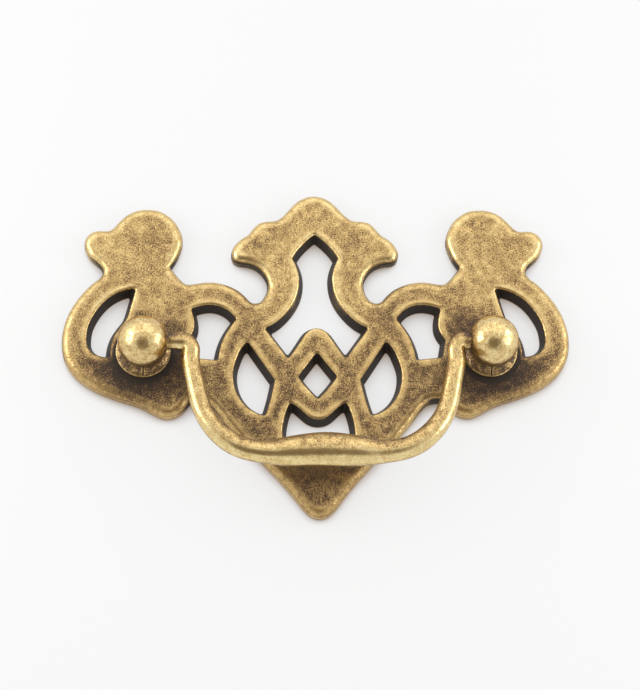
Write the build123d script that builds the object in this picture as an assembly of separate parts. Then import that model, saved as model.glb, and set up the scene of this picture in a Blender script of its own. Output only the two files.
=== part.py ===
from build123d import *
import math
import os

# A Chippendale-style bail pull for a drawer: a pierced cast backplate, two ball
# posts and a swinging bail, in millimetres. The plate's back is the plane y = 0,
# its face looks along -Y, +Z is up, and the origin is on the back, halfway between
# the two posts. Each piece is drawn flat, face up, and stood up at the end.

# Driving dimensions of the plate
post_centres = 76.2  # three inches between the two screws
plate_thickness = 3.2
plate_edge_radius = 1.8
corner_radius = 0.4  # in the notches of the outline and the holes
hole_edge_radius = 0.7
hole_draft = 18.0  # degrees, so that the holes are wider at the face

# Driving dimensions of a post
foot_radius = 5.95
foot_rim_height = 0.6
foot_rim_land = 0.25  # flat width of the rim's top
neck_radius = 4.0
ball_radius = 5.5
ball_height = 7.4  # from the plate's face to the ball's centre
spigot_radius = 3.2
spigot_clearance = 0.1  # round the spigot, and from its end to the plate's back
screw_bore_radius = 1.65  # tapping size for M4
screw_bore_depth = 6.5
screw_bore_chamfer = 0.4
drill_point_angle = 118.0

# Driving dimensions of the bail
pin_radius = 1.85
pin_clearance = 0.05
pin_hole_depth = 4.8  # from the ball's pole
pin_tip_gap = 0.1  # left at the hole's bottom when a shoulder meets its ball
pin_tip_chamfer = 0.3
shoulder_gap = 1.35  # from each shoulder to its ball, with the bail in the middle
side_slide = 1.0  # how far the bail has slid along its pins
shoulder_length = 0.6
elbow_bend_radius = 2.2
arm_radius = 2.02

post_x = post_centres / 2
ball_level = plate_thickness + ball_height

# The drawing of the plate and the bail is stretched sideways until its mark for the
# post's axis lies on the real one
post_mark = (38.1, 0.0)
stretch = post_x / post_mark[0]


def headed(runs):
    """The runs with their straight ones, of two bare points, given headings too."""
    complete = []
    for run in runs:
        if len(run[0]) == 2:
            (start_x, start_z), (end_x, end_z) = run
            heading = math.degrees(math.atan2(end_z - start_z, end_x - start_x))
            run = [(*point, heading) for point in run]
        complete.append(run)
    return complete


def whole(right_half):
    """The anticlockwise runs of a symmetric outline, from the runs of its right half."""
    right_half = headed(right_half)
    right = [[(x, z, heading + 180) for x, z, heading in reversed(run)] for run in right_half]
    left = [[(-x, z, 180 - heading) for x, z, heading in run] for run in right_half]
    return right[::-1] + left


# The right half of the plate's outline at its back, clockwise from the top, as runs
# of stations (x, z, heading in degrees) that meet at sharp corners
crown = [
    (0, 37.3, 0), (3.9, 35.8, -40), (6.6, 32.9, -47), (7.7, 31.9, -38), (9.3, 31.3, -5),
    (11.6, 31.05, -12), (13.2, 30, -48), (14.8, 28, -52),
]
curl_and_shoulder = [
    (14.8, 28, -35), (16.7, 26.7, -42), (18.3, 24.6, -70), (18.6, 23.3, -92),
    (17.75, 21.45, -146), (16.4, 21, -178), (14, 20.5, -158), (11.9, 18.9, -128),
    (10.65, 15.85, -90), (11.2, 13.6, -62), (12.4, 12.1, -30), (13.5, 11.8, 0),
    (14.6, 12.25, 42), (15.8, 13.6, 46), (18, 15.3, 28), (21, 16.45, 13), (24, 16.75, -2),
    (26.8, 16.35, -8), (28.4, 16.25, 10), (29.6, 17, 46), (32.05, 20, 52),
]
head_and_wing = [
    (32.05, 20, 125), (30.3, 22.9, 112), (29.35, 26.3, 92), (30.7, 30.5, 60),
    (33.8, 33.3, 30), (37.2, 34, 2), (41, 33.1, -28), (43.9, 30.5, -48), (45, 29.3, -40),
    (46.2, 28.85, 0), (48.2, 28.9, -8), (50.4, 27.7, -50), (51.1, 25.65, -90),
    (50.3, 23.2, -118), (48.4, 21.2, -138), (47.3, 20, -118), (47, 18.9, -88),
    (47.7, 17.7, -50), (49.3, 16.4, -42), (52.1, 13.3, -52), (54.3, 9.7, -64),
    (55.6, 5.7, -78), (55.9, 2.65, -90), (55.4, -0.9, -106), (53.9, -3.9, -124),
    (51.6, -6.3, -142), (47, -9, -157), (41.5, -11, -163), (38.5, -12.1, -156),
    (35.6, -13.7, -155), (33, -14.6, -180), (30.6, -14, 153), (28.8, -12.5, 128),
    (27.7, -11, 125),
]
tail = [
    (27.7, -11, 180), (25, -11.2, -168), (23.2, -12.3, -130), (21.3, -14.7, -125),
    (17.9, -19, -129), (12.1, -25, -131), (7, -30.8, -129), (4, -34.7, -127),
    (2.3, -36.5, -143), (0, -37.3, -180),
]
outline_half = [crown, curl_and_shoulder, head_and_wing, tail]

# The pierced holes at the plate's face: the three in the middle as right halves,
# then those of the right side, whose mirror images pierce the left side. A run of two
# (x, z) points without a heading is straight.
bell_half = [
    [(0, 27.8, -36), (5.2, 22.1, -62)],
    [(5.2, 22.1, -118), (3.75, 17.0, -90), (5.2, 11.4, -60), (8.4, 7.5, -42), (11.6, 5.7, -18)],
    [(11.6, 5.7), (6.4, -1.6)],
    [(6.4, -1.6, 128), (3.3, 2.9, 122), (1.7, 4.9, 145), (0, 5.5, 180)],
]
diamond_half = [
    [(0, 0.2), (4.35, -5.6)],
    [(4.35, -5.6, -122), (0, -10.9, -135)],
]
kite_half = [
    [(0, -15.3, 0), (2.4, -14.4, 42), (4.6, -12.4, 40), (6.2, -11.5, 15)],
    [(6.2, -11.5, -62), (7.5, -15.0, -76), (8.0, -19.0, -92), (7.0, -22.4, -120)],
    [(7.0, -22.4), (0, -25.0)],
]
eye_hole = [
    [(15.3, 2.8), (9.3, -6.3)],
    [(9.3, -6.3, -80), (11.5, -14.6, -70)],
    [(11.5, -14.6, 8), (16.0, -12.2, 47), (18.6, -5.6, 88), (17.3, -0.2, 112), (15.3, 2.8, 127)],
]
arch_hole = [
    [(27.7, 10.2, 158), (23.4, 11.2, 180), (19.8, 10.1, -147), (17.5, 7.8, -130)],
    [(17.5, 7.8, -50), (19.9, 4.3, -62), (21.2, 1.0, -75), (21.7, -1.9, -84)],
    [(21.7, -1.9), (27.7, -1.3)],
    [(27.7, -1.3), (28.5, 2.9)],
    [(28.5, 2.9, 133), (26.95, 6.3, 92), (27.7, 10.2, 70)],
]
wing_hole = [
    [(39.6, 15.0, -76), (41.2, 9.0, -74), (43.9, 4.6, -58), (45.2, 0.6, -84), (45.1, -1.3, -96)],
    [
        (45.1, -1.3, 5), (47.8, -0.9, 16), (50.3, 1.3, 68), (50.5, 4.6, 96),
        (48.3, 9.9, 124), (44.2, 13.7, 151), (39.6, 15.0, 178),
    ],
]

# The bail's right half from the middle of its grip to its arm, as stations
# (x, z from the pins, heading, radius)
bail_half = [
    (0, -24.6, 0, 3.75), (3.5, -24.7, -3, 3.6), (7.0, -24.92, -4, 3.3),
    (10.3, -25.1, -1, 2.88), (14.1, -24.95, 7, 2.46), (17.3, -24.3, 19, 2.4),
    (20.5, -22.75, 34, 2.4), (24.3, -19.1, 54, 2.28), (27.4, -12.0, 77, 2.11),
    (28.4, -7.0, 83, 2.05),
]


def on_plan(station):
    """The point and the direction of a station, stretched with the post spacing."""
    x, z, heading, *_ = station
    drawn = Vector(1, 0).rotate(Axis.Z, heading)
    return Vector(x * stretch, z), Vector(drawn.X * stretch, drawn.Y).normalized()


def arc_pair(start, end):
    """The two tangent arcs, or the line, that join one station to the next."""
    start_point, leaving = on_plan(start)
    end_point, arriving = on_plan(end)
    chord = end_point - start_point
    off_line = leaving.cross(chord).length + arriving.cross(chord).length
    if off_line < 0.001 * chord.length:
        return [Line(start_point, end_point)]
    along = chord.dot(leaving + arriving)
    turn = 2 * (1 - leaving.dot(arriving))
    reach = chord.dot(chord) / (along + math.sqrt(along**2 + turn * chord.dot(chord)))
    middle = (start_point + end_point + (leaving - arriving) * reach) * 0.5
    first = TangentArc(start_point, middle, tangent=leaving)
    return [first, TangentArc(middle, end_point, tangent=first % 1)]


def drawn_face(runs):
    """The face that anticlockwise runs of stations bound."""
    edges = []
    for run in runs:
        for start, end in zip(run, run[1:]):
            edges += arc_pair(start, end)
    return make_face(edges)


def corner_edges(shape, runs):
    """The edges that rise through the shape from the corners between its runs."""
    corners = []
    for run, following in zip(runs, runs[1:] + runs[:1]):
        corner, arriving = on_plan(run[-1])
        leaving = on_plan(following[0])[1]
        if arriving.cross(leaving).length > 0.01:
            corners.append(corner + Vector(0, 0, plate_thickness))
    found = []
    for edge in shape.edges():
        low, high = sorted(edge.vertices(), key=lambda vertex: vertex.Z)
        if high.Z - low.Z > plate_thickness / 2:
            if any((Vector(high) - corner).length < 0.001 for corner in corners):
                found.append(edge)
    return found


def both_sides(shape):
    """A shape of the right side, with its mirror image."""
    return [shape, mirror(shape, about=Plane.YZ)]


def stood_up(shape):
    """Turns what was drawn flat so that its back is at y = 0 and its face along -Y."""
    return shape.rotate(Axis.X, 90)


def drafted_hole(runs):
    """The cutter of a pierced hole, drawn at the face and narrower at the back."""
    upwards = extrude(drawn_face(runs), amount=plate_thickness, taper=hole_draft)
    cutter = Pos(0, 0, plate_thickness) * mirror(upwards, about=Plane.XY)
    return fillet(corner_edges(cutter, runs), corner_radius)


def backplate():
    """The pierced plate: rounded face edges, drafted holes and two spigot holes."""
    outline = whole(outline_half)
    plate = extrude(drawn_face(outline), amount=plate_thickness)
    plate = fillet(corner_edges(plate, outline), corner_radius)
    plate = fillet(plate.faces().sort_by(Axis.Z)[-1].edges(), plate_edge_radius)
    for right_half in (bell_half, diamond_half, kite_half):
        plate -= drafted_hole(whole(right_half))
    for runs in (eye_hole, arch_hole, wing_hole):
        plate -= both_sides(drafted_hole(headed(runs)))
    plate = fillet(plate.faces().sort_by(Axis.Z)[-1].inner_wires().edges(), hole_edge_radius)
    spigot_hole = Pos(post_x, 0, plate_thickness / 2) * Cylinder(
        spigot_radius + spigot_clearance, plate_thickness
    )
    return plate - both_sides(spigot_hole)


def screw_bore():
    """The cutter of the blind tapped hole, with its countersunk mouth and drill point."""
    mouth = spigot_clearance
    point_height = screw_bore_radius / math.tan(math.radians(drill_point_angle / 2))
    profile = Polyline(
        (0, mouth), (screw_bore_radius + screw_bore_chamfer, mouth),
        (screw_bore_radius, mouth + screw_bore_chamfer), (screw_bore_radius, screw_bore_depth),
        (0, screw_bore_depth + point_height), close=True,
    )
    return revolve(Plane.XZ * make_face(profile), axis=Axis.Z)


def post():
    """The right post: spigot, flared foot and ball, turned about the screw's axis."""
    neck_level = ball_level - math.sqrt(ball_radius**2 - neck_radius**2)
    rim_level = plate_thickness + foot_rim_height
    foot = Polyline(
        (0, spigot_clearance), (spigot_radius, spigot_clearance),
        (spigot_radius, plate_thickness), (foot_radius, plate_thickness),
        (foot_radius, rim_level), (foot_radius - foot_rim_land, rim_level),
    )
    flare = TangentArc((neck_radius, neck_level), foot @ 1, tangent=(0, -1))
    ball = ThreePointArc(
        (neck_radius, neck_level), (ball_radius, ball_level), (0, ball_level + ball_radius)
    )
    middle = Line(ball @ 1, foot @ 0)
    turned = revolve(Plane.XZ * make_face([*foot.edges(), flare, ball, middle]), axis=Axis.Z)
    pin_hole = Pos(-ball_radius, 0, ball_level) * Rot(0, 90, 0) * Cylinder(
        pin_radius + pin_clearance, 2 * pin_hole_depth
    )
    return Pos(post_x, 0, 0) * (turned - screw_bore() - pin_hole)


def bail():
    """The swinging bail, hanging: swelling grip, arms, elbows, shoulders and pins."""
    mouth_x = post_x - math.sqrt(ball_radius**2 - (pin_radius + pin_clearance) ** 2)
    shoulder_x = mouth_x - shoulder_gap
    bend_x = shoulder_x - shoulder_length
    arm_x = bend_x - elbow_bend_radius
    pin_length = post_x - ball_radius + pin_hole_depth - pin_tip_gap - shoulder_gap - shoulder_x
    rising = [(*on_plan(station), station[3]) for station in bail_half]
    rising.append((Vector(arm_x, -elbow_bend_radius), Vector(0, 1), arm_radius))
    falling = [
        (Vector(-point.X, point.Y), Vector(direction.X, -direction.Y), radius)
        for point, direction, radius in rising[:0:-1]
    ]
    sections = [
        Plane(origin=point, x_dir=(0, 0, 1), z_dir=direction) * Circle(radius)
        for point, direction, radius in falling + rising
    ]
    bend_axis = Axis((bend_x, -elbow_bend_radius, 0), (0, 0, -1))
    elbow = revolve(sections[-1], axis=bend_axis, revolution_arc=90)
    shoulder = extrude(Plane.YZ.offset(bend_x) * Circle(arm_radius), amount=shoulder_length)
    pin = extrude(Plane.YZ.offset(shoulder_x) * Circle(pin_radius), amount=pin_length)
    pin = chamfer(pin.faces().sort_by(Axis.X)[-1].edges(), pin_tip_chamfer)
    right_half = split(loft(sections), bisect_by=Plane.YZ) + elbow + shoulder + pin
    return Pos(side_slide, 0, ball_level) * (right_half + mirror(right_half, about=Plane.YZ))


os.makedirs("parts", exist_ok=True)
left_post, right_post = mirror(post(), about=Plane.YZ), post()
pieces = {
    "backplate": backplate(),
    "left_post": left_post,
    "right_post": right_post,
    "bail": bail(),
}
for name, piece in pieces.items():
    export_step(stood_up(piece), f"parts/{name}.step")
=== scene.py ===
# %% [markdown]
# This is a drawer pull in antique brass: a pierced cast plate, two posts that end in
# balls, and a bail that swings between them. A measured model of it already exists, and
# loading it gives a fixed frame, in metres, whose pieces stay where they are. The plate
# and the bail could be modelled again here, but the measured ones are exact, so they are
# kept and only finished.

# %% Load the frame
import math

import bmesh
import bpy
from mathutils import Matrix, Vector


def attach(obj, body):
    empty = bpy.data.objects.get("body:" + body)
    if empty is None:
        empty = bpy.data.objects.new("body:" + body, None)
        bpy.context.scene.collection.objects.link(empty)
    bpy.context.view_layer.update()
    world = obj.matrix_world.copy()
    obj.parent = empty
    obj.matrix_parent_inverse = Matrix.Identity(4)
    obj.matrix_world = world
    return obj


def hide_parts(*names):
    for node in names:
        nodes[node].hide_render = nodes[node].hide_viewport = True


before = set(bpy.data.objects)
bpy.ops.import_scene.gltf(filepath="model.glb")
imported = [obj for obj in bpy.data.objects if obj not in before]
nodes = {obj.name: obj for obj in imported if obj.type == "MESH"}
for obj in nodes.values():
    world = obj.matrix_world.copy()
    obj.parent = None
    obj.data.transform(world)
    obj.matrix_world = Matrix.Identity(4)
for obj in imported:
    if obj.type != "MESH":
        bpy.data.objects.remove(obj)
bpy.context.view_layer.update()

MM = 0.001
print("nodes:", sorted(nodes))

# %% [markdown]
# The picture was taken from a little below the pull, looking up, with a long lens, so
# the undersides of the posts show. A camera could be turned by three angles, but the
# roll is easier to see in vectors: the way back from the aim to the lens, the way right
# and the way up. A slight roll turns the last two, because the pull leans a degree in
# the picture.

# %% Which way the camera looks
CAMERA_AZIMUTH = math.radians(-3.5)
CAMERA_ELEVATION = math.radians(-19)
CAMERA_ROLL = math.radians(-1.19)

back = Vector((
    math.sin(CAMERA_AZIMUTH) * math.cos(CAMERA_ELEVATION),
    -math.cos(CAMERA_AZIMUTH) * math.cos(CAMERA_ELEVATION),
    math.sin(CAMERA_ELEVATION),
))
level_right = Vector((math.cos(CAMERA_AZIMUTH), math.sin(CAMERA_AZIMUTH), 0))
level_up = back.cross(level_right)
right = level_right * math.cos(CAMERA_ROLL) + level_up * math.sin(CAMERA_ROLL)
up = level_up * math.cos(CAMERA_ROLL) - level_right * math.sin(CAMERA_ROLL)
print("back to the lens:", [round(v, 3) for v in back])

# %% [markdown]
# The lens's length in millimetres follows from its length in pixels, which was measured,
# and from how many pixels high the picture is, because the sensor's longer side goes
# with the picture's longer side. The three directions are the columns of the camera's
# matrix.

# %% The camera
CAMERA_DISTANCE = 618 * MM
AIM = Vector((0.84, 0, 2.7)) * MM
PICTURE_HEIGHT = 690
FOCAL_PIXELS = 2800
SENSOR = 36.0
CLIP_START = 10 * MM

lens = bpy.data.cameras.new("camera")
lens.sensor_width = SENSOR
lens.lens = FOCAL_PIXELS * SENSOR / PICTURE_HEIGHT
lens.clip_start = CLIP_START
camera = bpy.data.objects.new("camera", lens)
camera.matrix_world = Matrix.Translation(AIM + back * CAMERA_DISTANCE) @ Matrix(
    (right, up, back)
).transposed().to_4x4()
bpy.context.scene.collection.objects.link(camera)
bpy.context.scene.camera = camera
bpy.context.scene.view_settings.view_transform = "Standard"
print("lens:", round(lens.lens, 1), "mm")

# %% [markdown]
# Colours are written as a painter picks them, in sRGB hex, and one function turns them
# to the linear values that light is reckoned in. A second small function adds a shader
# node, sets it and links it, so that a finish reads as a list of what it is made of.

# %% Helpers for the finishes
def colour(hex_code):
    """An sRGB hex colour as linear red, green, blue and full alpha."""
    channels = [int(hex_code[i:i + 2], 16) / 255 for i in (1, 3, 5)]
    linear = [c / 12.92 if c <= 0.04045 else ((c + 0.055) / 1.055) ** 2.4 for c in channels]
    return (*linear, 1.0)


def add_node(tree, kind, settings={}, inputs={}):
    """A new node with its settings; an input is a value, or another node's output."""
    node = tree.nodes.new(kind)
    for name, value in settings.items():
        setattr(node, name, value)
    for key, value in inputs.items():
        if isinstance(value, bpy.types.NodeSocket):
            tree.links.new(value, node.inputs[key])
        else:
            node.inputs[key].default_value = value
    return node


def new_finish(name):
    """An empty material, its node tree and its output node."""
    material = bpy.data.materials.new(name)
    material.use_nodes = True
    material.node_tree.nodes.clear()
    return material, material.node_tree, add_node(
        material.node_tree, "ShaderNodeOutputMaterial")


print("mid grey in linear light:", round(colour("#808080")[0], 3))

# %% [markdown]
# Antique brass is bright brass that is darkened to a brown-black patina and then tumbled.
# Tumbling rubs the patina off wherever the parts knock together: fully on round edges, in
# a fine speckle on the flats, and not at all inside the holes. One number, the wear, says
# how much brass shows through at a point. It could be painted by hand, but worked out
# from the shape it follows every edge by itself, from all sides. A ramp turns the wear
# into a colour, and the same number makes bare brass smoother and more of a metal than
# the patina is. Shallow waves from casting and the speckle give a little relief.

# %% The brass under its patina
PATINA_BLACK = colour("#2d231a")
PATINA_BROWN = colour("#6c5238")
RUBBED_BRASS = colour("#ccac72")
BARE_BRASS = colour("#f1dda4")
RAMP = ((0.0, PATINA_BLACK), (0.25, PATINA_BROWN), (0.6, RUBBED_BRASS), (1.0, BARE_BRASS))
PATINA_METALLIC, WEAR_ALL_METAL = 0.3, 0.5
WEAR_MATT, WEAR_SHINY = 0.2, 0.9
WAVE_HEIGHT, WAVE_STRENGTH = 0.3 * MM, 0.6
GRAIN_HEIGHT, GRAIN_STRENGTH = 0.03 * MM, 0.4


def worn_surface(tree, output, wear_and_shade, grain, waves, matt=0.6, shine=0.18):
    """Finishes a material: colour, roughness, metal and relief, all led by the wear."""
    ramp = add_node(tree, "ShaderNodeValToRGB", inputs={"Fac": wear_and_shade})
    elements = ramp.color_ramp.elements
    while len(elements) < len(RAMP):
        elements.new(0.5)
    for element, (position, tint) in zip(elements, RAMP):
        element.position = position
        element.color = tint
    roughness = add_node(tree, "ShaderNodeMapRange", inputs={
        "Value": wear_and_shade, "From Min": WEAR_MATT, "From Max": WEAR_SHINY,
        "To Min": matt, "To Max": shine,
    })
    metallic = add_node(tree, "ShaderNodeMapRange", inputs={
        "Value": wear_and_shade, "From Max": WEAR_ALL_METAL, "To Min": PATINA_METALLIC, "To Max": 1.0,
    })
    relief = add_node(tree, "ShaderNodeBump", inputs={
        "Strength": WAVE_STRENGTH, "Distance": WAVE_HEIGHT, "Height": waves,
    })
    relief = add_node(tree, "ShaderNodeBump", inputs={
        "Strength": GRAIN_STRENGTH, "Distance": GRAIN_HEIGHT, "Height": grain,
        "Normal": relief.outputs["Normal"],
    })
    shader = add_node(tree, "ShaderNodeBsdfPrincipled", inputs={
        "Base Color": ramp.outputs["Color"], "Roughness": roughness.outputs[0],
        "Metallic": metallic.outputs[0], "Normal": relief.outputs["Normal"],
    })
    tree.links.new(shader.outputs[0], output.inputs["Surface"])


print("ramp from black patina to bare brass at wear:", [position for position, _ in RAMP])

# %% [markdown]
# The speckle is layers of soft spots, finest first. Each layer's width is a real size in
# millimetres. A real speckle goes down to hundredths of a millimetre, which is too fine
# to show, so the finest layer is drawn about a third of a millimetre wide.

# %% The speckle in the brass
def spots(tree, place, *layers):
    """Patterns from 0 to 1, one for each layer's width in mm, detail and roughness."""
    return [
        add_node(tree, "ShaderNodeTexNoise", inputs={
            "Vector": place, "Scale": 1 / (width * MM), "Detail": detail,
            "Roughness": roughness,
        }).outputs["Fac"]
        for width, detail, roughness in layers
    ]


def uneven(tree, middle, *patterns):
    """The middle wear, made uneven by patterns of the given strengths."""
    wear_and_shade = middle - sum(strength for _, strength in patterns) / 2
    for pattern, strength in patterns:
        wear_and_shade = add_node(tree, "ShaderNodeMath", {"operation": "MULTIPLY_ADD"}, {
            0: pattern, 1: strength, 2: wear_and_shade,
        }).outputs[0]
    return wear_and_shade


print("one pixel of the picture is", round(CAMERA_DISTANCE / MM / FOCAL_PIXELS, 2), "mm")

# %% [markdown]
# The places that keep their patina are masks. Each starts from something that can be
# measured at a point: how far it is from a spot, how near an edge, how deep in a hollow,
# or which way it faces. Ambient occlusion measures two of these. Looking outwards, it
# says how far other walls shut a point in, and looking into the metal it finds the edges.
# A mask is one or more smooth steps of such measures, multiplied.

# %% Masks for the patina
def distance_from(tree, spot, x, y, z):
    """How far a point is from a spot given in millimetres, the same left and right."""
    either_side = add_node(tree, "ShaderNodeMath", {"operation": "ABSOLUTE"}, {0: x})
    mirrored = add_node(tree, "ShaderNodeCombineXYZ", inputs={
        0: either_side.outputs[0], 1: y, 2: z,
    })
    return add_node(tree, "ShaderNodeVectorMath", {"operation": "DISTANCE"}, {
        0: mirrored.outputs[0], 1: Vector(spot) * MM,
    }).outputs["Value"]


def shut_in(tree, reach, inside):
    """0 where nothing is near, rising to 1 where walls are all round within the reach
    in millimetres: seen from inside the metal at its edges, or from outside in hollows."""
    light = add_node(tree, "ShaderNodeAmbientOcclusion", {
        "inside": inside, "only_local": True, "samples": 16,
    }, {"Distance": reach * MM})
    return add_node(tree, "ShaderNodeMath", {"operation": "SUBTRACT"}, {
        0: 1.0, 1: light.outputs["AO"],
    }).outputs[0]


def mask(tree, *steps):
    """Smooth steps, multiplied: each goes from low to high as its measure goes from
    start to end."""
    product = None
    for measure, start, end, low, high in steps:
        step = add_node(tree, "ShaderNodeMapRange", {"interpolation_type": "SMOOTHSTEP"}, {
            "Value": measure, "From Min": start, "From Max": end, "To Min": low,
            "To Max": high,
        }).outputs[0]
        product = step if product is None else add_node(
            tree, "ShaderNodeMath", {"operation": "MULTIPLY"}, {0: product, 1: step},
        ).outputs[0]
    return product


def darkened(tree, wear_and_shade, *masks):
    """The wear with each mask taken off it."""
    for amount in masks:
        wear_and_shade = add_node(tree, "ShaderNodeMath", {"operation": "SUBTRACT"}, {
            0: wear_and_shade, 1: amount,
        }).outputs[0]
    return wear_and_shade


print("helpers for masks:", [f.__name__ for f in (distance_from, shut_in, mask, darkened)])

# %% [markdown]
# The plate is cast, with a soft rounded edge all round its face. It is the piece that
# tumbling marks most clearly: its rounded edges are rubbed bare, and its flats keep a
# dense brown speckle. Both are worked out, and a mask of what lies near an edge chooses
# between them.

# %% The plate's flats and rims
PLATE_THICKNESS = 3.2
POST_X = 38.1
RIM_REACH = 2.6

# Cast brass, darkened and tumbled: brown and matt on the flats, bright along the edges
plate_brass, tree, output = new_finish("tumbled antique brass")
coordinates = add_node(tree, "ShaderNodeTexCoord").outputs
place, normal = coordinates["Object"], coordinates["Normal"]
x, y, z = add_node(tree, "ShaderNodeSeparateXYZ", inputs={0: place}).outputs
_, normal_back, normal_up = add_node(tree, "ShaderNodeSeparateXYZ", inputs={0: normal}).outputs
facing = add_node(tree, "ShaderNodeMath", {"operation": "MULTIPLY"}, {
    0: normal_back, 1: -1.0,
}).outputs[0]

grain, blotch, cloud, waves = spots(
    tree, place, (0.32, 2.0, 0.7), (1.3, 3.0, 0.6), (6.0, 2.0, 0.6), (3.0, 2.0, 0.6))
flat_wear = uneven(tree, 0.48, (grain, 1.5), (blotch, 0.7), (cloud, 0.35))
rim_wear = uneven(tree, 0.75, (grain, 0.7), (blotch, 0.5))
on_rim = mask(tree, (shut_in(tree, RIM_REACH, inside=True), 0.08, 0.15, 0, 1))
wear_and_shade = add_node(tree, "ShaderNodeMix", {"data_type": "FLOAT"}, {
    0: on_rim, 2: flat_wear, 3: rim_wear,
}).outputs[0]
print("rims reach", RIM_REACH, "mm in from the plate's edges")

# %% [markdown]
# Round and under the foot of each post the face is darkened, partly by dark wax and
# patina that tumbling and a cloth can't reach, and partly by the post's painted shadow:
# a broad shade below each ball and a tight crescent just under each foot. The face is
# also darker in the armpit below each wing's inner end, and a little on the tail behind
# the grip, with patina and the grip's painted shade. The plate is darker towards its
# lower half, and a little darker on the straps round its arched holes.

# %% Where the plate's face keeps its patina and painted shade
SHADED_SPOT, FOOT_SPOT = (POST_X, 0, -1.5), (POST_X, 0, -0.6)
ARMPIT_SPOT, ARCH_SPOT = (26.5, 0, -7.5), (22.5, 0, 9)

from_post, from_foot, from_armpit, from_arch = (
    distance_from(tree, spot, x, 0.0, z)
    for spot in (SHADED_SPOT, FOOT_SPOT, ARMPIT_SPOT, ARCH_SPOT)
)
wear_and_shade = darkened(
    tree, wear_and_shade,
    # Patina and the post's painted shadow: broad below the ball, tight under the foot
    mask(tree, (from_post, 14 * MM, 6 * MM, 0, 0.28)),
    mask(tree, (from_foot, 7 * MM, 6.2 * MM, 0, 0.5)),
    mask(tree, (from_armpit, 5 * MM, 3 * MM, 0, 0.8), (facing, 0.8, 0.5, 0, 1)),
    mask(tree, (z, 14 * MM, -3 * MM, 0, 0.15)),
    mask(tree, (from_arch, 12 * MM, 7 * MM, 0, 0.07)),
    # Patina and the grip's painted shade on the tail behind it
    mask(tree, (z, -25 * MM, -30 * MM, 0, 0.04)),
)
print("patina round spots at", [SHADED_SPOT, FOOT_SPOT, ARMPIT_SPOT, ARCH_SPOT], "mm")

# %% [markdown]
# The walls of the holes are black below their lips. A wall is told by its normal, which
# the draft of the casting leans by eighteen degrees, and by its depth below the face.
# The notches of the outline and the creases are dark too, because their walls see each
# other. The outer walls are darker than the rims, with patina and painted shade, except
# those that face down, which are left bright as if lit from below. The back, which only
# lies against the drawer, is an even brown.

# %% The plate's walls and its back
FACE = -PLATE_THICKNESS
WALLS_REACH = 9

walls_near = shut_in(tree, WALLS_REACH, inside=False)
wear_and_shade = darkened(
    tree, wear_and_shade,
    mask(tree, (facing, 0.2, 0.26, 0, 1), (facing, 0.5, 0.36, 0, 1),
         (y, (FACE + 0.5) * MM, (FACE + 1.1) * MM, 0, 0.7), (walls_near, 0, 0.14, 0.2, 1)),
    mask(tree, (walls_near, 0.03, 0.12, 0, 0.9), (facing, 0.6, 0.4, 0, 1)),
    mask(tree, (walls_near, 0.22, 0.34, 0, 0.9)),
    # Patina and painted shade on the outer walls, except those that face down
    mask(tree, (facing, 0.4, 0.2, 0, 0.45), (normal_up, -0.5, -0.1, 0, 1)),
)
wear_and_shade = add_node(tree, "ShaderNodeMix", {"data_type": "FLOAT"}, {
    0: mask(tree, (facing, -0.5, -0.9, 0, 1)), 2: wear_and_shade,
    3: uneven(tree, 0.4, (grain, 0.7), (cloud, 0.5)),
}).outputs[0]
worn_surface(tree, output, wear_and_shade, grain, waves)
print("plate's finish:", len(tree.nodes), "nodes")

# %% [markdown]
# The posts are touched with every pull, so their balls are rubbed brighter than the
# plate, with a smoother skin and a sparse brown speckle. The neck and the flared foot lie
# deeper, under the ball: they keep their patina and take painted shade from the ball
# too, and the ball round its pin and the groove on the flare keep their patina. The
# sharp rim of the foot is bare.

# %% The posts' finish
PIN_SPOT = (33.0, -10.6, 0)
FOOT_EDGE_REACH, FOOT_EDGE_WEAR = 0.5, 1.4
GROOVE_REACH = 0.6

# Cast brass, darkened and buffed: the ball shines, and its mirrored lights are soft
post_brass, tree, output = new_finish("burnished antique brass")
place = add_node(tree, "ShaderNodeTexCoord").outputs["Object"]
x, y, z = add_node(tree, "ShaderNodeSeparateXYZ", inputs={0: place}).outputs
grain, blotch, waves = spots(tree, place, (0.3, 2.0, 0.75), (1.2, 4.0, 0.6), (3.0, 2.0, 0.6))
wear_and_shade = darkened(
    tree, uneven(tree, 0.74, (grain, 1.1), (blotch, 1.1)),
    # Patina and painted shade under the ball, on the neck and the foot
    mask(tree, (y, -13 * MM, -7.5 * MM, 0, 0.46)),
    mask(tree, (distance_from(tree, PIN_SPOT, x, y, z), 3.6 * MM, 2 * MM, 0, 0.6)),
    mask(tree, (shut_in(tree, GROOVE_REACH, inside=False), 0.05, 0.3, 0, 0.6)),
)
wear_and_shade = add_node(tree, "ShaderNodeMath", {"operation": "MULTIPLY_ADD"}, {
    0: shut_in(tree, FOOT_EDGE_REACH, inside=True), 1: FOOT_EDGE_WEAR, 2: wear_and_shade,
}).outputs[0]
worn_surface(tree, output, wear_and_shade, grain, waves, matt=0.45, shine=0.2)
print("posts' finish:", len(tree.nodes), "nodes")

# %% [markdown]
# Hands rub the bail's pins least, so they keep their patina. Its top and its back, which
# faces the plate, are drawn darker, and its underside lighter. The top and back are told
# by which way they face, because the bail is round all along.

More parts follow.
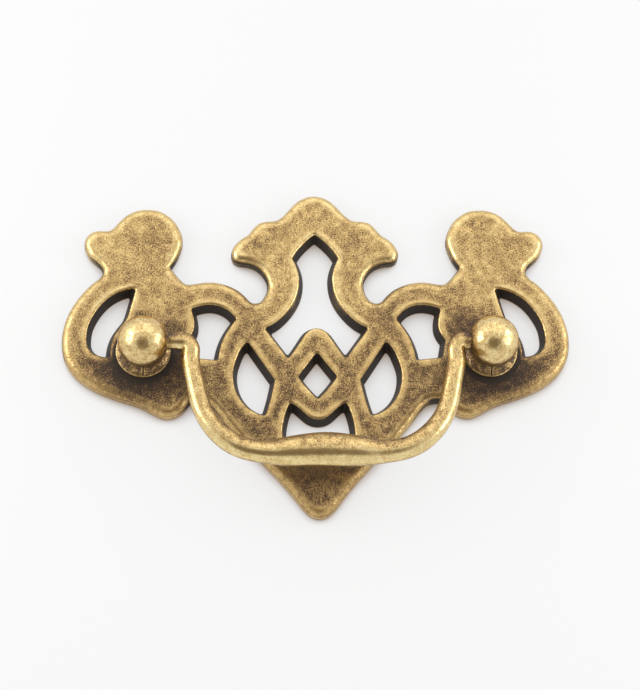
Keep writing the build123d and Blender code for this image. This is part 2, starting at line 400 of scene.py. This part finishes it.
# %% The bail's finish
# Cast brass, darkened and worn by hands: smooth, with the brown left in a coarse speckle
bail_brass, tree, output = new_finish("handled antique brass")
coordinates = add_node(tree, "ShaderNodeTexCoord").outputs
place, normal = coordinates["Object"], coordinates["Normal"]
x = add_node(tree, "ShaderNodeSeparateXYZ", inputs={0: place}).outputs[0]
_, normal_back, normal_up = add_node(tree, "ShaderNodeSeparateXYZ", inputs={0: normal}).outputs
either_side = add_node(tree, "ShaderNodeMath", {"operation": "ABSOLUTE"}, {0: x}).outputs[0]
grain, blotch, waves = spots(tree, place, (0.3, 2.0, 0.75), (1.8, 4.0, 0.6), (6.0, 2.0, 0.6))
wear_and_shade = darkened(
    tree, uneven(tree, 0.7, (grain, 1.5), (blotch, 0.9)),
    mask(tree, (either_side, 30.5 * MM, 32.5 * MM, 0, 0.36)),
    mask(tree, (normal_up, -0.6, 0.6, -0.15, 0.25)),
    mask(tree, (normal_back, -0.35, 0.1, 0, 0.45)),
)
worn_surface(tree, output, wear_and_shade, grain, waves, matt=0.42, shine=0.2)
print("bail's finish:", len(tree.nodes), "nodes")

for name, finish in (("backplate", plate_brass), ("bail", bail_brass)):
    nodes[name].data.materials.clear()
    nodes[name].data.materials.append(finish)

# %% [markdown]
# A post is one casting, round about its screw's axis. It could be put together from a
# cylinder, a cone and a ball, but then the seams between them would have to be hidden.
# So it is made as a lathe would make it: half of its outline is drawn in the plane that
# holds the axis, and spun once round. A straight line of the outline is a vertex extruded
# and put in place, and an arc is a vertex spun about the arc's centre.

# %% Drawing an outline
def line_to(mesh, end, radius, level):
    """Extrudes the outline's end to a radius from the axis and a level above the back."""
    end = bmesh.ops.extrude_vert_indiv(mesh, verts=[end])["verts"][0]
    end.co = Vector((radius, -level, 0)) * MM
    return end


def arc_to(mesh, end, centre_radius, centre_level, degrees, steps):
    """Spins the outline's end about a centre, with plus degrees towards the axis."""
    spun = bmesh.ops.spin(
        mesh, geom=[end], cent=Vector((centre_radius, -centre_level, 0)) * MM,
        axis=(0, 0, 1), angle=math.radians(degrees), steps=steps, use_duplicate=False,
    )["geom_last"]
    return [part for part in spun if isinstance(part, bmesh.types.BMVert)][0]


print("helpers for an outline:", [f.__name__ for f in (line_to, arc_to)])

# %% [markdown]
# The outline starts at the bottom of the screw's hole, comes out through the spigot that
# sits in the plate, goes over the foot and up its flare, and ends on top of the ball. The
# flare is an arc that reaches the neck parallel to the axis, which fixes its radius. The
# corners are rounded by less than a tenth of a millimetre, as tumbling leaves them.

# %% A post's outline
FOOT_RADIUS, FOOT_RIM, FOOT_LAND = 5.95, 0.6, 0.25
NECK_RADIUS = 4.0
BALL_RADIUS, BALL_LEVEL = 5.5, 10.6
SPIGOT_RADIUS, SPIGOT_END = 3.2, 0.1
DRILL_RADIUS, DRILL_DEPTH, DRILL_POINT = 1.65, 6.5, 7.49
THREAD_RADIUS, THREAD_BOTTOM = 2.0, 5.9
FLARE_STEPS, BALL_STEPS = 20, 72
CORNER_BEVEL, CORNER_SEGMENTS = 0.08, 3

rim_radius, rim_level = FOOT_RADIUS - FOOT_LAND, PLATE_THICKNESS + FOOT_RIM
neck_level = BALL_LEVEL - math.sqrt(BALL_RADIUS**2 - NECK_RADIUS**2)


def draw_post(mesh):
    """Draws a post's outline, from the drill's point on the axis to the ball's top."""
    reach, rise = rim_radius - NECK_RADIUS, neck_level - rim_level
    flare_radius = (reach**2 + rise**2) / (2 * reach)
    flare_degrees = math.degrees(math.asin(rise / flare_radius))
    neck_degrees = math.degrees(math.acos(NECK_RADIUS / BALL_RADIUS))
    end = bmesh.ops.create_vert(mesh, co=Vector((0, -DRILL_POINT, 0)) * MM)["vert"][0]
    corners = []
    for radius, level in (
        (DRILL_RADIUS, DRILL_DEPTH), (DRILL_RADIUS, THREAD_BOTTOM),
        (THREAD_RADIUS, THREAD_BOTTOM), (THREAD_RADIUS, SPIGOT_END),
        (SPIGOT_RADIUS, SPIGOT_END), (SPIGOT_RADIUS, PLATE_THICKNESS),
        (FOOT_RADIUS, PLATE_THICKNESS), (FOOT_RADIUS, rim_level), (rim_radius, rim_level),
    ):
        end = line_to(mesh, end, radius, level)
        corners.append(end)
    end = arc_to(
        mesh, end, NECK_RADIUS + flare_radius, neck_level, flare_degrees, FLARE_STEPS)
    corners.append(end)
    arc_to(mesh, end, 0, BALL_LEVEL, -90 - neck_degrees, BALL_STEPS)
    bmesh.ops.bevel(
        mesh, geom=corners, offset=CORNER_BEVEL * MM, offset_type="OFFSET",
        segments=CORNER_SEGMENTS, profile=0.5, affect="VERTICES", material=-1,
    )


print("neck:", round(neck_level, 2), "mm above the plate's back")

# %% [markdown]
# A full spin ends where it began, so its last ring is merged with its first, and the ends
# of the outline on the axis are merged too. The two halves of the mould leave a thin
# groove down the flare, below and above. It could be cut, but the flare is so finely
# stepped that it is enough to push one line of its vertices in.

# %% Spinning a post
TURNING_STEPS = 180
MERGE_DISTANCE = 0.001
PARTING_GROOVE = 0.3


def post_body():
    """A post about the Y axis, spun from its outline, with its parting groove."""
    mesh = bmesh.new()
    draw_post(mesh)
    bmesh.ops.spin(
        mesh, geom=mesh.verts[:] + mesh.edges[:], cent=(0, 0, 0), axis=(0, 1, 0),
        angle=2 * math.pi, steps=TURNING_STEPS, use_merge=True, use_duplicate=False,
    )
    bmesh.ops.remove_doubles(mesh, verts=mesh.verts, dist=MERGE_DISTANCE * MM)
    for side in (-1, 1):
        seam = [
            vertex for vertex in mesh.verts
            if abs(vertex.co.x) < 0.01 * MM and vertex.co.z * side > NECK_RADIUS / 2 * MM
            and rim_level * MM < -vertex.co.y < neck_level * MM
        ]
        bmesh.ops.translate(mesh, verts=seam, vec=(0, 0, -side * PARTING_GROOVE * MM))
    bmesh.ops.recalc_face_normals(mesh, faces=mesh.faces)
    return mesh


print("a post is spun in", TURNING_STEPS, "steps")

# %% [markdown]
# The screw's hole is tapped from behind, and its thread shows when the pull lies on its
# face. A thread is a ridge that climbs as it goes round, so the ridge's section is drawn
# once and spun with a small shift at each step. It is sunk a little into the wall of the
# hole, so that no gap shows between them.

# %% The thread in a post
THREAD_PITCH, THREAD_TURNS, THREAD_STEPS = 0.7, 7, 40
THREAD_START = SPIGOT_END + 0.45
RIDGE_ROOT, RIDGE_CREST, RIDGE_SINK = 0.33, 0.05, 0.03


def screw_thread():
    """The ridge of the thread in a post's hole."""
    mesh = bmesh.new()
    root_radius = THREAD_RADIUS + RIDGE_SINK
    section = [
        bmesh.ops.create_vert(
            mesh, co=Vector((radius, -THREAD_START - along, 0)) * MM)["vert"][0]
        for radius, along in (
            (root_radius, -RIDGE_ROOT), (DRILL_RADIUS, -RIDGE_CREST),
            (DRILL_RADIUS, RIDGE_CREST), (root_radius, RIDGE_ROOT),
        )
    ]
    bmesh.ops.contextual_create(mesh, geom=section)
    bmesh.ops.spin(
        mesh, geom=mesh.verts[:] + mesh.edges[:] + mesh.faces[:], cent=(0, 0, 0),
        axis=(0, 1, 0), dvec=(0, -THREAD_PITCH * MM / THREAD_STEPS, 0),
        angle=2 * math.pi * THREAD_TURNS, steps=THREAD_TURNS * THREAD_STEPS,
        use_duplicate=False,
    )
    bmesh.ops.recalc_face_normals(mesh, faces=mesh.faces)
    return mesh


print("thread: M", 2 * THREAD_RADIUS, "with", THREAD_TURNS, "turns")

# %% [markdown]
# The bail's pin turns in a blind hole in the ball's inner side. A Boolean modifier cuts
# it, because the hole crosses the ball's curved rings, which no spin about the post's
# axis can do. The modifier needs a second object, a plain round bar, which is deleted
# once the cut is made and its result has become the mesh.

# %% Drilling a ball
PIN_HOLE_RADIUS, PIN_HOLE_DEPTH, PIN_HOLE_SEGMENTS = 1.9, 4.8, 64


def mesh_object(name, mesh):
    """A new object of a bmesh, linked to the scene."""
    data = bpy.data.meshes.new(name)
    mesh.to_mesh(data)
    mesh.free()
    piece = bpy.data.objects.new(name, data)
    bpy.context.scene.collection.objects.link(piece)
    return piece


def drill(piece, side):
    """The piece's mesh with the pin's hole cut in its ball, as a bmesh."""
    mesh = bmesh.new()
    bmesh.ops.create_cone(
        mesh, cap_ends=True, segments=PIN_HOLE_SEGMENTS, radius1=PIN_HOLE_RADIUS * MM,
        radius2=PIN_HOLE_RADIUS * MM, depth=2 * PIN_HOLE_DEPTH * MM,
        matrix=Matrix.Rotation(math.pi / 2, 4, "Y"),
    )
    bmesh.ops.translate(
        mesh, verts=mesh.verts, vec=Vector((-side * BALL_RADIUS, -BALL_LEVEL, 0)) * MM)
    bar = mesh_object("pin bar", mesh)
    cut = piece.modifiers.new("pin hole", "BOOLEAN")
    cut.operation, cut.solver, cut.object = "DIFFERENCE", "EXACT", bar
    drilled = bmesh.new()
    drilled.from_mesh(piece.evaluated_get(bpy.context.evaluated_depsgraph_get()).data)
    piece.modifiers.clear()
    bpy.data.objects.remove(bar)
    return drilled


print("pin's hole:", 2 * PIN_HOLE_RADIUS, "mm wide and", PIN_HOLE_DEPTH, "mm deep")

# %% [markdown]
# The two posts are made alike and moved apart, each with its pin's hole towards the
# middle. The thread is added to the drilled mesh, so that a post stays one object. Edges
# sharper than 35 degrees stay sharp in the shading, and the rest is smooth. Each post
# stands for the measured one, whose ball is shaded wrongly at its pole.

# %% Both posts
SHARP_ANGLE = math.radians(35)

for side, name in ((-1, "left_post"), (1, "right_post")):
    piece = mesh_object(name + "_turned", post_body())
    drilled = drill(piece, side)
    thread_data = bpy.data.meshes.new("thread")
    thread = screw_thread()
    thread.to_mesh(thread_data)
    thread.free()
    drilled.from_mesh(thread_data)
    bpy.data.meshes.remove(thread_data)
    bmesh.ops.translate(drilled, verts=drilled.verts, vec=(side * POST_X * MM, 0, 0))
    drilled.to_mesh(piece.data)
    drilled.free()
    piece.data.set_sharp_from_angle(angle=SHARP_ANGLE)
    piece.data.materials.append(post_brass)
    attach(piece, "plate_body")
    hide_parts(name)
    print(piece.name, len(piece.data.polygons), "faces")

# %% [markdown]
# The pull lies against a plain pale wall, as it would on a painted drawer. One large
# square is enough, just behind the plate's back, so that the two never share a plane.

# %% The wall
WALL_GAP = 0.3 * MM
WALL_SIZE = 0.7

wall_mesh = bmesh.new()
bmesh.ops.create_grid(wall_mesh, x_segments=1, y_segments=1, size=WALL_SIZE / 2)
bmesh.ops.rotate(wall_mesh, verts=wall_mesh.verts, matrix=Matrix.Rotation(math.pi / 2, 3, "X"))
bmesh.ops.translate(wall_mesh, verts=wall_mesh.verts, vec=(0, WALL_GAP, 0))
wall = mesh_object("wall", wall_mesh)
print("wall:", round(WALL_GAP / MM, 2), "mm behind the plate")

# %% [markdown]
# The wall is nearly white for the camera and in what the brass mirrors. More lamps could
# whiten it, but they would bleach the brass, so a share of its tone is simply shown as it
# is, and only the rest is lit. That shown share carries a painted shade, which darkens
# softly where the casting shuts out the light around it, most of all the light from
# above, as at the top of each hole.
# Seen from behind the wall is clear, and it stops no light, so that the back can be
# looked at too.

# %% The wall's paint
WALL_WHITE = colour("#fbfbfb")
WALL_SHADE = colour("#87694a")
WALL_LIT = colour("#e5e5e5")
SHADE_REACH = 9 * MM
SHARE_AS_IT_IS = 0.7

# Matt emulsion on board: it gives the eye no gleam, only its shade
wall_paint, tree, output = new_finish("matt pale emulsion paint")
upwards = add_node(tree, "ShaderNodeCombineXYZ", inputs={1: -0.75, 2: 0.66})
nearby = add_node(tree, "ShaderNodeAmbientOcclusion", {"samples": 24}, {
    "Distance": SHADE_REACH, "Normal": upwards.outputs[0],
})
# Painted shade on the shown share: darker where the casting is near, most of all above
tone = add_node(tree, "ShaderNodeMix", {"data_type": "RGBA"}, {
    0: mask(tree, (nearby.outputs["AO"], 0.15, 0.7, 0, 1)), 6: WALL_SHADE, 7: WALL_WHITE,
})
plain = add_node(tree, "ShaderNodeEmission", inputs={"Color": tone.outputs[2], "Strength": 1.0})
lit = add_node(tree, "ShaderNodeBsdfDiffuse", inputs={"Color": WALL_LIT})
shown = add_node(tree, "ShaderNodeMixShader", inputs={
    0: SHARE_AS_IT_IS, 1: lit.outputs[0], 2: plain.outputs[0],
})
print("share of the wall's tone that no lamp changes:", SHARE_AS_IT_IS)

# %% [markdown]
# Light Path says what kind of ray meets the wall. Rays from the camera and mirrored rays
# get the tone, and all others get plain matt paint, which throws soft light back on the
# pull. Shadow rays and rays from behind pass through.

# %% Who sees the wall
ray = add_node(tree, "ShaderNodeLightPath").outputs
from_behind = add_node(tree, "ShaderNodeNewGeometry").outputs["Backfacing"]
clear = add_node(tree, "ShaderNodeBsdfTransparent")


def either(first, second):
    """1 where one of two yes-or-no numbers is 1."""
    return add_node(tree, "ShaderNodeMath", {"operation": "MAXIMUM"}, {
        0: first, 1: second,
    }).outputs[0]


sees_tone = either(
    ray["Is Camera Ray"], either(ray["Is Glossy Ray"], ray["Is Transmission Ray"]))
front = add_node(tree, "ShaderNodeMixShader", inputs={
    0: sees_tone, 1: lit.outputs[0], 2: shown.outputs[0],
})
whole_wall = add_node(tree, "ShaderNodeMixShader", inputs={
    0: either(from_behind, ray["Is Shadow Ray"]), 1: front.outputs[0], 2: clear.outputs[0],
})
tree.links.new(whole_wall.outputs[0], output.inputs["Surface"])
wall.data.materials.append(wall_paint)
print("wall's paint:", len(tree.nodes), "nodes")

# %% [markdown]
# Brass shows little but what it mirrors, so the light is laid out as a set of bright
# shapes: a broad soft light overhead and a softbox at each side. Small lamps could light
# it as well, but each would show as a hard white dot on the balls.

# %% The softboxes
SOFTBOXES = (
    ("overhead softbox", (0, -0.26, 0.28), (0.60, 0.30), 0.6),
    ("left softbox", (-0.25, -0.12, 0.055), (0.13, 0.22), 3.2),
    ("right softbox", (0.25, -0.11, 0.01), (0.10, 0.22), 3.2),
)

for name, place, size, brightness in SOFTBOXES:
    # The brightness is what a mirror would show of the box, and its power follows
    data = bpy.data.lights.new(name, "AREA")
    data.shape = "RECTANGLE"
    data.size, data.size_y = size
    data.energy = brightness * math.pi * size[0] * size[1]
    box = bpy.data.objects.new(name, data)
    aimed = (-Vector(place)).to_track_quat("-Z", "Y")
    box.matrix_world = Matrix.Translation(place) @ aimed.to_matrix().to_4x4()
    bpy.context.scene.collection.objects.link(box)
    print(name, round(data.energy, 2), "W")

# %% [markdown]
# Between the softboxes the brass mirrors the room. It is pale, a little darker below, and
# darker and warmer behind the camera, where no lamp stands. That dark side gives the
# balls their deep middle and the flats their brown.

# %% The room
CAMERA_SIDE = colour("#b08a58")
ROOM_ABOVE = (0, -0.6, 0.8)
LENS_SHADOW_DROP = Vector((0, 0, -0.2))

world = bpy.data.worlds.new("pale room")
bpy.context.scene.world = world
world.use_nodes = True
tree = world.node_tree
tree.nodes.clear()
direction = add_node(tree, "ShaderNodeTexCoord").outputs["Generated"]


def towards(aim):
    """How nearly a direction in the room points along aim: 1 is exactly."""
    return add_node(tree, "ShaderNodeVectorMath", {"operation": "DOT_PRODUCT"}, {
        0: direction, 1: tuple(Vector(aim).normalized()),
    }).outputs["Value"]


lens_shadow = mask(tree, (towards(back + LENS_SHADOW_DROP), 0.82, 0.97, 1.0, 0.36))
strength = add_node(tree, "ShaderNodeMath", {"operation": "MULTIPLY"}, {
    0: mask(tree, (towards(ROOM_ABOVE), -0.2, 0.8, 0.93, 1.08)), 1: lens_shadow,
})
tint = add_node(tree, "ShaderNodeMix", {"data_type": "RGBA"}, {
    0: lens_shadow, 6: CAMERA_SIDE, 7: WALL_WHITE,
})
sky = add_node(tree, "ShaderNodeBackground", inputs={
    "Color": tint.outputs[2], "Strength": strength.outputs[0],
})
add_node(tree, "ShaderNodeOutputWorld", inputs={"Surface": sky.outputs[0]})
print("room:", len(tree.nodes), "nodes")
